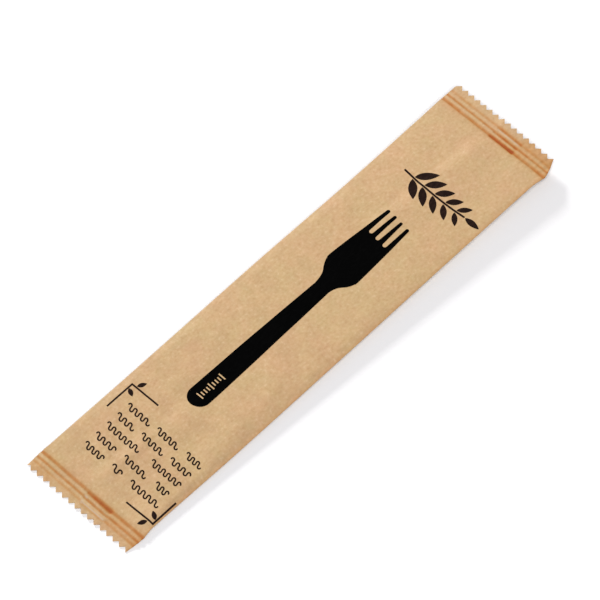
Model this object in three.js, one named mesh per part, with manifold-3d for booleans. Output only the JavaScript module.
// A sealed paper cutlery pack: one sheet of brown kraft paper wrapped into a flat tube round a wooden
// fork. The sheet's two long edges are sealed face to face into a fin, which lies folded down on the
// back, and both ends are crimped shut with grooved jaws and cut with a zigzag knife.
//
// Millimetres. +X runs along the pack towards the fork's tines and +Z out of its printed front. The
// pack lies on its back: the fin, two soft bulges of the back panel and the near seal's lip touch
// z = 0. The fork's bowl holds the other end up, and the far seal stands about 4 mm above it.

import * as THREE from "three";
import { mergeVertices } from "three/addons/utils/BufferGeometryUtils.js";
import Module from "manifold-3d";

// ---- driving dimensions

const packLength = 210.5; // tooth tip to tooth tip
const sealThickness = 0.2; // two layers of paper, pressed together or folded over at a side

const toothPitch = 3; // zigzag knife
const toothDepth = 1.5;
const cutWidth = 47.2; // the end seals' mean width at the knife
const rootMargin = 0.4; // plain paper between the tooth roots and the first station behind them

const grooveDepths = [0.12, 0.22, 0.3]; // what the crimping jaws press, outermost first
const grooveRoom = 1.1; // the paper is flat again this far from a groove's bottom

const finRoot = 1.7; // y of the fold that the fin hangs from
const finWidth = 11.2; // it lies towards -Y
const finThickness = 0.25;
const finStep = 0.45; // a seal lying on the ground steps over the fin's edges within this distance
const finBite = 0.1; // how far the fin's solid reaches into the back panel's

// The two ends. grooves are distances from the tooth tips to the grooves' bottoms, outermost first,
// and fillRun is how much of the body next to the seal swells from flat to its full thickness.
const nearEnd = { side: -1, grooves: [3.4, 5.3, 7.55], fillRun: 24 };
const farEnd = { side: 1, grooves: [3.9, 6.1, 8.35], fillRun: 29 };

// Curves along the pack, each a few [x, value] points with a smooth run between them. The tube is
// 48 mm wide beside the seals, which press it flat, and the filled body draws in a little.
const lowSideY = [
  [-105.25, -22.85],
  [-97.9, -23.67],
  [-93, -23.1],
  [-50, -23.46],
  [0, -23.4],
  [60, -23.24],
  [91, -23.3],
  [97.4, -24],
  [99.6, -23.4],
  [105.25, -20.7],
];
const highSideY = [
  [-105.25, 23.95],
  [-97.9, 24],
  [-93, 23.85],
  [-60, 23.8],
  [0, 23.92],
  [50, 23.45],
  [85, 23.63],
  [97.4, 23.85],
  [105.25, 23.78],
];
const foldZ = [
  [-105.25, 0.1],
  [-103.4, 0.2],
  [-101, 0.55],
  [-97.9, 0.85],
  [-60, 1.35],
  [0, 2.45],
  [60, 3.65],
  [97.4, 4.35],
  [105.25, 4.2],
];
const crownZ = [
  [-96.5, 0],
  [-75, 0.35],
  [-20, 0.45],
  [45, 0.5],
  [75, 0.4],
  [96.5, 0],
];

const crownPower = 6; // the front is flat across its middle and rounds off near the side folds
const flatShare = 0.72; // share of the back panel's half width that touches down
const finRim = 0.6; // the back panel stays lifted this far past the fin's edges
const finLiftRun = 5; // and comes down over this distance
const cornerDroop = 0.9; // the far seal's lip curls down at its low corner
const cornerRun = { x: 6, y: 12 };

const bodyStep = 5.5; // longest step of the body's stations

const kraftBrown = 0xd3af85;

// ---- small helpers

const clamp = THREE.MathUtils.clamp;
const smooth = (t) => THREE.MathUtils.smoothstep(t, 0, 1);

// Slope of a curve at each of its points: level where it turns, and otherwise the harmonic mean of
// the straight slopes before and after the point.
function slopesOf(points) {
  const rises = points.slice(1).map(([x, value], k) => (value - points[k][1]) / (x - points[k][0]));
  const inner = rises.slice(1).map((rise, k) => {
    const product = rise * rises[k];
    return product > 0 ? (2 * product) / (rise + rises[k]) : 0;
  });
  return [rises[0], ...inner, rises[rises.length - 1]];
}

// Value at x of a smooth curve through a few points, which never overshoots them.
function along(points, x) {
  const last = points.length - 1;
  const inside = clamp(x, points[0][0], points[last][0]);
  const next = Math.max(points.findIndex(([at]) => at >= inside), 1);
  const [[x0, a], [x1, b]] = points.slice(next - 1, next + 1);
  const [slopeA, slopeB] = slopesOf(points).slice(next - 1, next + 1);
  const t = (inside - x0) / (x1 - x0);
  const bend = slopeA * t * (1 - t) ** 2 - slopeB * t ** 2 * (1 - t);
  return a + (b - a) * smooth(t) + (x1 - x0) * bend;
}

// ---- columns across the pack

// The columns fall on the knife's tips and roots, counted from the low side: even ones are tips and
// odd ones roots. The last column is the high side's fold, which cuts the last tooth short.
const columnsAcrossCut = cutWidth / (toothPitch / 2);
const columns = Math.ceil(columnsAcrossCut);
const columnShare = (j) => Math.min(j / columnsAcrossCut, 1);

// How far the knife's edge lies behind the tooth tips at a column, from 0 at a tip to 1 at a root.
const knifeShare = (j) => Math.abs(j - 2 * Math.round(j / 2));

// ---- stations along the pack

const sealInset = (end) => end.grooves[grooveDepths.length - 1]; // the groove between seal and body

// The stations in one seal, outermost first: the tooth tips, the paper behind the tooth roots, and
// then flat paper and a groove's bottom in turn. inset is a station's distance from the tooth tips
// and press is how deep the jaws have pressed it.
function sealStations(end) {
  const list = [
    { inset: 0, press: 0 },
    { inset: toothDepth + rootMargin, press: 0 },
  ];
  end.grooves.forEach((inset, k) => {
    const before = k > 0 ? (end.grooves[k - 1] + inset) / 2 : inset - grooveRoom;
    list.push({ inset: before, press: 0 });
    list.push({ inset, press: grooveDepths[k] });
  });
  list.push({ inset: sealInset(end) + grooveRoom, press: 0 });
  return list;
}

function allStations() {
  const half = packLength / 2;
  const near = sealStations(nearEnd).map(({ inset, press }) => ({ x: inset - half, press }));
  const far = sealStations(farEnd).map(({ inset, press }) => ({ x: half - inset, press }));
  const from = near[near.length - 1].x;
  const to = far[far.length - 1].x;
  const steps = Math.ceil((to - from) / bodyStep);
  const body = [];
  for (let i = 1; i < steps; i++) {
    body.push({ x: from + ((to - from) * i) / steps, press: 0 });
  }
  return [...near, ...body, ...far.reverse()];
}

const stations = allStations();
const lastStation = stations.length - 1;

// ---- form of the pack

// How full the pack is at x: 0 at the seals, 1 where the back panel touches down.
function fill(x) {
  const inset = (end) => packLength / 2 - end.side * x - sealInset(end);
  return Math.min(...[nearEnd, farEnd].map((end) => smooth(inset(end) / end.fillRun)));
}

// The far seal's lip curls down towards its low corner.
function droop(x, distanceFromLowSide) {
  const outwards = clamp((x - packLength / 2 + cornerRun.x) / cornerRun.x, 0, 1);
  const sideways = clamp(1 - distanceFromLowSide / cornerRun.y, 0, 1);
  return -cornerDroop * outwards * sideways;
}

// A seal that lies on the ground is lifted by the fin below it. room is the height under the seal.
function overFin(y, room) {
  const aboveEdge = smooth((y - finRoot + finWidth) / finStep + 0.5);
  const belowRoot = smooth((finRoot - y) / finStep + 0.5);
  return Math.max(finThickness - room, 0) * aboveEdge * belowRoot;
}

// Back panel where the pack is full. It rides over the fin and touches down on both sides of it.
function touchdown(v, y, fold) {
  const beside = Math.max(y - finRoot, finRoot - finWidth - y, finRim) - finRim;
  const lift = finThickness * (1 - smooth(beside / finLiftRun));
  const rise = clamp((Math.abs(v) - flatShare) / (1 - flatShare), 0, 1);
  return lift + (fold - lift) * rise ** 2;
}

// Point of the pack's skin: x from the station, y from the column, z from the side (1 front, -1 back).
function skinPoint(i, j, side) {
  const isEnd = i === 0 || i === lastStation;
  const end = i === 0 ? nearEnd : farEnd;
  const { x: station, press } = stations[i];
  const x = isEnd ? station - end.side * toothDepth * knifeShare(j) : station;
  const low = along(lowSideY, station);
  const high = along(highSideY, station);
  const share = columnShare(j);
  const y = low + (high - low) * share;
  const v = 2 * share - 1;
  const lift = overFin(y, along(foldZ, x) - sealThickness / 2);
  const middle = along(foldZ, x) - press + droop(x, y - low) + lift;
  const crown = along(crownZ, x) * (1 - Math.abs(v) ** crownPower);
  const front = middle + sealThickness / 2 + crown;
  const flatBack = middle - sealThickness / 2;
  const fullBack = touchdown(v, y, flatBack);
  const back = flatBack + (fullBack - flatBack) * fill(x);
  return new THREE.Vector3(x, y, side > 0 ? front : Math.max(back, 0));
}

// ---- slabs: a box whose grid of points is moved to the form

// shape(i, j, side) gives the place of the grid point i steps along, j steps across, on the front
// (side 1) or the back (side -1).
function slab(steps, crossSteps, shape) {
  const geometry = new THREE.BoxGeometry(steps, crossSteps, 1, steps, crossSteps, 1);
  const position = geometry.getAttribute("position");
  for (let n = 0; n < position.count; n++) {
    const i = Math.round(position.getX(n) + steps / 2);
    const j = Math.round(position.getY(n) + crossSteps / 2);
    const place = shape(i, j, Math.sign(position.getZ(n)));
    position.setXYZ(n, place.x, place.y, place.z);
  }
  return geometry;
}

const sleeve = slab(lastStation, columns, skinPoint);

// The fin follows the back panel from end to end. Its two edges fall between columns.
function columnAt(y) {
  const low = along(lowSideY, 0);
  const high = along(highSideY, 0);
  return ((y - low) / (high - low)) * columnsAcrossCut;
}

const finColumns = [columnAt(finRoot - finWidth)];
for (let j = Math.ceil(finColumns[0]); j < columnAt(finRoot); j++) {
  finColumns.push(j);
}
finColumns.push(columnAt(finRoot));

const fin = slab(lastStation, finColumns.length - 1, (i, j, side) => {
  const place = skinPoint(i, finColumns[j], -1);
  place.z = side > 0 ? place.z + finBite : Math.max(place.z - finThickness, 0);
  return place;
});

// ---- joining the fin to the sleeve

const wasm = await Module();
wasm.setup();

function solidOf(geometry) {
  geometry.deleteAttribute("normal");
  geometry.deleteAttribute("uv");
  const merged = mergeVertices(geometry);
  const vertProperties = merged.getAttribute("position").array;
  const triVerts = new Uint32Array(merged.index.array);
  return new wasm.Manifold(new wasm.Mesh({ numProp: 3, vertProperties, triVerts }));
}

function geometryOf(solid) {
  const { vertProperties, triVerts } = solid.getMesh();
  const geometry = new THREE.BufferGeometry();
  geometry.setAttribute("position", new THREE.BufferAttribute(vertProperties, 3));
  geometry.setIndex(new THREE.BufferAttribute(triVerts, 1));
  geometry.computeVertexNormals();
  return geometry;
}

const kraftPaper = new THREE.MeshStandardMaterial({ color: kraftBrown, roughness: 0.75, metalness: 0 });
const sealedPack = new THREE.Mesh(geometryOf(solidOf(sleeve).add(solidOf(fin))), kraftPaper);
sealedPack.name = "sealed_pack";

const cutleryPack = new THREE.Group();
cutleryPack.add(sealedPack);

export default cutleryPack;
